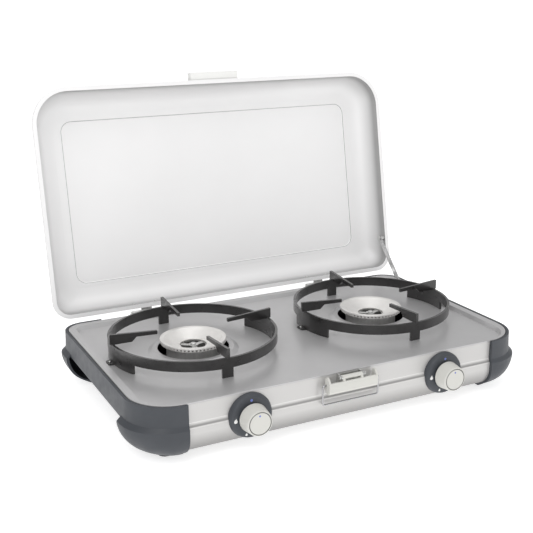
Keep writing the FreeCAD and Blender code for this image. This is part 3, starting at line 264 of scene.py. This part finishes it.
def lid_paint(name, base, painted_rim_and_emboss_shade):
    """Satin silver with painted shade along the rim, in the deep-drawn walls and as a dark line on the
    panel's edge.

    The tones go by depth, in millimetres from the rim's plane, with the lid open as packed.
    """
    s = Shader(name, 0.1)
    opened = math.radians(100.0)
    inward = Vector((0.0, math.sin(opened), math.cos(opened)))
    rim = inward.dot(middle_of("hinge_pin_left")) + 1.5 * MM
    lead = 0.5
    reach = 40.0
    start = -(rim - lead * MM) / (reach * MM)
    along_y = s.math("MULTIPLY_ADD", s.along("Y"), inward.y / (reach * MM), start)
    depth = s.math("MULTIPLY_ADD", s.along("Z"), inward.z / (reach * MM), along_y)
    # painted shade in the walls, darkest near the rim and fading towards the panel
    painted_wall_shade = scaled(base, 0.42)
    painted_upper_wall_shade = scaled(base, 0.78)
    tones = [
        (0.3, base),
        (0.5, painted_rim_and_emboss_shade),
        (2.2, painted_rim_and_emboss_shade),
        (2.8, painted_wall_shade),
        (10.0, painted_wall_shade),
        (20.0, painted_upper_wall_shade),
        (31.0, base),
        (35.2, base),
        # a line of painted shade along the panel's emboss
        (35.35, painted_rim_and_emboss_shade),
        (35.8, painted_rim_and_emboss_shade),
        (35.9, base),
    ]
    # painted shade by depth from the rim's plane
    painted_depth_shade = s.ramp(depth, [((lead + into) / reach, tone) for into, tone in tones])
    drift = s.ramp(s.noise(9.0, 4.0), [(0.3, 0.97), (0.7, 1.0)])
    s.base_colour(s.multiplied(painted_depth_shade, drift))
    s.roughness(0.34, 0.44, 40.0)
    s.orange_peel(0.12, 0.08)
    return s.material


def black_enamel(name, base):
    """Sprayed black enamel with a slight texture and rubbed patches."""
    s = Shader(name)
    s.bsdf.inputs["Coat Weight"].default_value = 0.6
    s.bsdf.inputs["Coat Roughness"].default_value = 0.2
    s.colour(base, 0.3, 60.0)
    s.roughness(0.24, 0.42, 120.0)
    s.bump([(s.noise(700.0, 3.0), 0.3, 0.00008), (s.noise(120.0, 3.0), 0.3, 0.00018)])
    return s.material


# ------------------------------------------------------------------ plastics and rubber


def moulded_plastic(name, base, low, high, grain, scale=900.0, spread=0.04):
    """Plastic with a moulded grain and a slight drift in tone."""
    s = Shader(name)
    s.bsdf.inputs["Specular IOR Level"].default_value = 0.4
    s.colour(base, spread, 22.0)
    s.roughness(low, high, 80.0)
    s.bump([(s.noise(scale, 3.0, 0.6), grain, 0.00008)])
    return s.material


def smooth_plastic(name, base):
    return moulded_plastic(name, base, 0.3, 0.42, 0.08, spread=0.015)


def printed_mark(name, base, spread):
    return moulded_plastic(name, base, 0.4, 0.5, 0.1, spread=spread)


def knob_plastic(node, cream):
    """Cream plastic with a shadow in the ring groove round the knob's face."""
    s = Shader(f"{node}_cream")
    from_middle = s.vector_math("SUBTRACT", s.place, middle_of(node)).outputs["Vector"]
    across = s.vector_math("MULTIPLY", from_middle, (1.0, 0.0, 1.0)).outputs["Vector"]
    reach = 20.0
    radius = s.math("MULTIPLY", s.vector_math("LENGTH", across).outputs["Value"], 1.0 / (reach * MM))
    shadow = (0.10, 0.10, 0.10)
    tones = [(12.2, cream), (12.36, shadow), (13.16, shadow), (13.32, cream)]
    ring = s.ramp(radius, [(out / reach, tone) for out, tone in tones])
    drift = s.ramp(s.noise(22.0, 4.0), [(0.3, scaled(cream, 0.985)), (0.7, cream)])
    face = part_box(node)[0].y
    near_face = s.math("LESS_THAN", s.along("Y"), face + 1.7 * MM)
    s.base_colour(s.choose(drift, ring, near_face))
    s.roughness(0.3, 0.42, 80.0)
    s.bump([(s.noise(900.0, 3.0, 0.6), 0.08, 0.00008)])
    return s.material


def rubber(name, base):
    s = Shader(name)
    s.colour(base, 0.15, 70.0)
    s.roughness(0.75, 0.92, 130.0)
    s.bump([(s.noise(900.0, 4.0, 0.7), 0.5, 0.0001)])
    return s.material


# ------------------------------------------------------------------ bare metals


def cast_aluminium(name, base):
    s = Shader(name, 0.55)
    s.colour(base, 0.05, 45.0)
    s.roughness(0.32, 0.5, 160.0)
    s.bump([(s.noise(1800.0, 3.0, 0.65), 0.35, 0.00006), (s.noise(350.0), 0.15, 0.00008)])
    return s.material


def turned_aluminium(name, base):
    """Lathe-turned side: fine rings round the upright axis and faint drawn streaks."""
    s = Shader(name, 0.45)
    rings = s.noise(1.0, 3.0, 0.6, s.stretched((6.0, 6.0, 2600.0)))
    streaks = s.noise(1.0, 3.0, 0.6, s.stretched((260.0, 260.0, 16.0)))
    s.base_colour(s.ramp(streaks, [(0.3, scaled(base, 0.86)), (0.7, base)]))
    s.join(s.ramp(rings, [(0.3, 0.26), (0.7, 0.42)]), s.bsdf.inputs["Roughness"])
    s.bump([(rings, 0.25, 0.00004)])
    return s.material


def plated(name, base, low, high, grain=0.12):
    s = Shader(name, 1.0)
    s.colour(base, 0.06, 90.0)
    s.roughness(low, high, 200.0)
    s.bump([(s.noise(1200.0, 3.0), grain, 0.00004)])
    return s.material


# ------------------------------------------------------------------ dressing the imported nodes


def make_materials():
    """Materials by material slot, or by node name where a node differs from its slot."""
    cream = (0.62, 0.615, 0.58)
    cup = turned_aluminium("turned_cup", (0.74, 0.73, 0.72))
    return {
        # the last colour is the painted shade along the rim and on the panel's emboss
        "lid_enamel": lid_paint("satin_silver", (0.92, 0.915, 0.915), (0.34, 0.338, 0.34)),
        "hob_enamel": satin_paint("satin_grey", (0.55, 0.546, 0.55), 0.3, 0.42, 0.16, 0.5),
        # the last colour is the painted shade towards the bottom of the sheet
        "panel_enamel": sheet_paint("panel_silver", (0.57, 0.562, 0.553), (0.15, 0.145, 0.142)),
        # painted highlight for the hob plate's rounded edges
        "painted_edge_highlight": satin_paint("painted_edge_highlight", (0.93, 0.93, 0.92), 0.25, 0.35),
        # painted shade for the lid's rounded edges
        "painted_edge_shade": satin_paint("painted_edge_shade", (0.30, 0.30, 0.31), 0.3, 0.4),
        "black_enamel": black_enamel("black_enamel", (0.016, 0.015, 0.015)),
        "slate_plastic": moulded_plastic(
            "slate_plastic", (0.053, 0.058, 0.067), 0.42, 0.56, 0.35, 1500.0
        ),
        "cream_plastic": smooth_plastic("cream_plastic", cream),
        # a lighter copy of the cream plastic: painted light that makes up for the shade under the catch
        "lid_catch": smooth_plastic("catch_cream_painted_light", (0.86, 0.86, 0.84)),
        "knob_left": knob_plastic("knob_left", cream),
        "knob_right": knob_plastic("knob_right", cream),
        "mark_white": printed_mark("print_white", (0.85, 0.85, 0.84), 0.01),
        "mark_blue": printed_mark("print_blue", (0.16, 0.20, 0.52), 0.03),
        "rubber": rubber("rubber", (0.018, 0.018, 0.018)),
        "burner_aluminium": cast_aluminium("burner_cap", (0.80, 0.785, 0.765)),
        "burner_cup_left": cup,
        "burner_cup_right": cup,
        "lid_stay": plated("stay_plate", (0.62, 0.62, 0.62), 0.2, 0.32, 0.06),
        "plated_steel": plated("zinc_plate", (0.63, 0.63, 0.62), 0.28, 0.45),
        "chrome_wire": plated("bright_plate", (0.42, 0.42, 0.43), 0.14, 0.26, 0.05),
        "brass": plated("brass", (0.72, 0.54, 0.26), 0.25, 0.42),
    }


# Rounded edges on the pieces that show them: the width in millimetres, and the material of the rounding
# where it differs from the piece's own, which is a painted highlight on the hob plate and painted shade
# on the lid.
EDGE_ROUNDING = {
    "hob_plate": (0.55, "painted_edge_highlight"),
    "body_shell": (0.3, None),
    "lid_shell": (0.5, "painted_edge_shade"),
    "lid_catch": (0.4, None),
    "latch_lever": (0.35, None),
    "pan_support_left": (0.3, None),
    "pan_support_right": (0.3, None),
}


def dress(node, materials, slot):
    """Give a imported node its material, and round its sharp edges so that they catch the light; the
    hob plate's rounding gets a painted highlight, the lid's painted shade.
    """
    name = node.name
    mesh = node.data
    mesh.materials.clear()
    mesh.materials.append(materials.get(name, materials[slot]))
    if name not in EDGE_ROUNDING:
        return
    width, edge = EDGE_ROUNDING[name]
    rounding = node.modifiers.new("edges", "BEVEL")
    rounding.width = width * MM
    rounding.segments = 2
    rounding.limit_method = "ANGLE"
    rounding.angle_limit = math.radians(35.0)
    if edge:
        mesh.materials.append(materials[edge])
        rounding.material = 1


# ------------------------------------------------------------------ small added pieces


def add_piece(name, made, body, material):
    mesh = bpy.data.meshes.new(name)
    made.to_mesh(mesh)
    made.free()
    for face in mesh.polygons:
        face.use_smooth = True
    mesh.materials.append(material)
    piece = bpy.data.objects.new(name, mesh)
    bpy.context.scene.collection.objects.link(piece)
    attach(piece, body)


def on_front(node, across, up, sunk=0.0):
    """A point in front of a node's middle, in millimetres from it, sunk below its front face."""
    middle = middle_of(node)
    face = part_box(node)[0].y
    return Vector((middle.x + across * MM, face + sunk * MM, middle.z + up * MM))


def raised_outline(made, centre, outline, rise):
    """A flat mark with slightly sunk edges, facing the front, from (across, up) millimetres."""
    back = centre.y + 0.15 * MM
    front = centre.y - rise * MM
    shoulder = front + 0.04 * MM
    rims = []
    for y, shrink in ((back, 1.0), (shoulder, 1.0), (front, 0.9)):
        size = shrink * MM
        rims.append([made.verts.new((centre.x + u * size, y, centre.z + v * size)) for u, v in outline])
    count = len(outline)
    for lower, upper in zip(rims, rims[1:]):
        for i in range(count):
            j = (i + 1) % count
            made.faces.new((lower[i], lower[j], upper[j], upper[i]))
    made.faces.new(rims[-1])
    made.faces.new(rims[0][::-1])
    bmesh.ops.recalc_face_normals(made, faces=made.faces)


def dot_outline(radius):
    turns = [2 * math.pi * i / 20 for i in range(20)]
    return [(radius * math.cos(a), radius * math.sin(a)) for a in turns]


def flame_outline(height):
    """A flame with a pointed top that leans a little to one side."""
    right = [(0.0, -0.5), (0.24, -0.46), (0.38, -0.28), (0.36, -0.05), (0.22, 0.16), (0.12, 0.5)]
    left = [(-0.06, 0.28), (-0.2, 0.14), (-0.33, -0.04), (-0.38, -0.26), (-0.25, -0.45)]
    return [(u * height, v * height) for u, v in right + left]


def add_marks(materials):
    """Dots and flames printed on the bezels, and a dot on each knob's face."""
    sunk = 0.35
    rise = 0.12
    flames = bmesh.new()
    dots = bmesh.new()
    for side in ("left", "right"):
        bezel = f"knob_bezel_{side}"
        raised_outline(flames, on_front(bezel, -19.8, -0.9, sunk), flame_outline(5.6), rise)
        raised_outline(flames, on_front(bezel, -7.4, -19.0, sunk), flame_outline(3.6), rise)
        raised_outline(dots, on_front(bezel, -0.8, 19.4, sunk), dot_outline(1.5), rise)
        knob = f"knob_{side}"
        dot = bmesh.new()
        raised_outline(dot, on_front(knob, -0.4, 8.8), dot_outline(1.15), rise / 2)
        add_piece(f"knob_dot_{side}", dot, f"{knob}_body", materials["mark_blue"])
    add_piece("bezel_flames", flames, "stove_body", materials["mark_white"])
    add_piece("bezel_dots", dots, "stove_body", materials["mark_blue"])


def add_weld_beads(material):
    """Short rough beads where each finger is welded to its hoop."""
    chance = random.Random(7)
    inside_tabs = 2.2 * MM
    below_fingers = 12.6 * MM
    beside_finger = 1.9 * MM
    spacing = 1.2
    for side in ("left", "right"):
        node = f"pan_support_{side}"
        low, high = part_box(node)
        hoop = (high.y - low.y) / 2 - inside_tabs
        top = high.z - below_fingers
        beads = bmesh.new()
        for quarter in range(4):
            angle = quarter * math.pi / 2
            out = Vector((math.cos(angle), math.sin(angle), 0.0))
            along = Vector((-out.y, out.x, 0.0))
            for flank in (-1, 1):
                for step in range(3):
                    reach = hoop - (0.2 + step * spacing) * MM
                    place = middle_of(node) + out * reach + along * flank * beside_finger
                    place.z = top + chance.uniform(0.2, 0.6) * MM
                    size = chance.uniform(0.9, 1.25) * MM
                    flattened = Matrix.Diagonal((size, size, size * 0.7, 1.0))
                    shape = Matrix.Translation(place) @ flattened
                    bmesh.ops.create_icosphere(beads, subdivisions=2, radius=1.0, matrix=shape)
        add_piece(f"weld_beads_{side}", beads, f"{node}_body", material)


# ------------------------------------------------------------------ floor and light


def add_floor():
    """A wide white floor that glows a little, so that its shadows stay pale."""
    mesh = bpy.data.meshes.new("floor")
    made = bmesh.new()
    reach = 600.0
    corners = [(-reach, -reach), (reach, -reach), (reach, reach), (-reach, reach)]
    made.faces.new([made.verts.new((x, y, 0.0)) for x, y in corners])
    made.to_mesh(mesh)
    made.free()
    floor = bpy.data.objects.new("floor", mesh)
    bpy.context.scene.collection.objects.link(floor)
    s = Shader("floor_white")
    s.colour((0.72, 0.72, 0.72), 0.005, 2.0)
    s.bsdf.inputs["Emission Color"].default_value = (1.0, 1.0, 1.0, 1.0)
    s.bsdf.inputs["Emission Strength"].default_value = 0.7
    s.roughness(0.85, 0.95, 30.0)
    mesh.materials.append(s.material)


def area_light(name, place, target, size, power):
    data = bpy.data.lights.new(name, "AREA")
    data.shape = "RECTANGLE"
    data.size, data.size_y = size
    data.energy = power
    light = bpy.data.objects.new(name, data)
    light.location = place
    light.rotation_euler = (Vector(target) - Vector(place)).to_track_quat("-Z", "Y").to_euler()
    bpy.context.scene.collection.objects.link(light)


def add_light():
    """An even white surround, and four large soft lights."""
    world = bpy.data.worlds.new("studio")
    bpy.context.scene.world = world
    world.use_nodes = True
    sky = world.node_tree.nodes["Background"]
    sky.inputs["Color"].default_value = (1.0, 1.0, 1.0, 1.0)
    sky.inputs["Strength"].default_value = 0.55
    middle = (0.0, 0.05, 0.12)
    lid_middle = (0.0, 0.2, 0.22)
    area_light("key", (-1.2, -1.1, 1.9), middle, (1.6, 1.2), 15.0)
    area_light("top", (0.2, 0.1, 2.2), middle, (1.8, 1.8), 9.0)
    area_light("front", (-0.7, -2.3, 1.0), lid_middle, (2.2, 1.4), 6.0)
    area_light("side", (1.9, -0.8, 1.0), middle, (1.0, 1.4), 3.0)


# ------------------------------------------------------------------ make it

add_camera()
add_floor()
add_light()
bpy.context.scene.view_settings.view_transform = "Standard"

MATERIALS = make_materials()
for entry in frame["record"]["subparts"]:
    dress(NODES[entry["node"]], MATERIALS, entry["material_slot"])
add_marks(MATERIALS)
add_weld_beads(MATERIALS["black_enamel"])
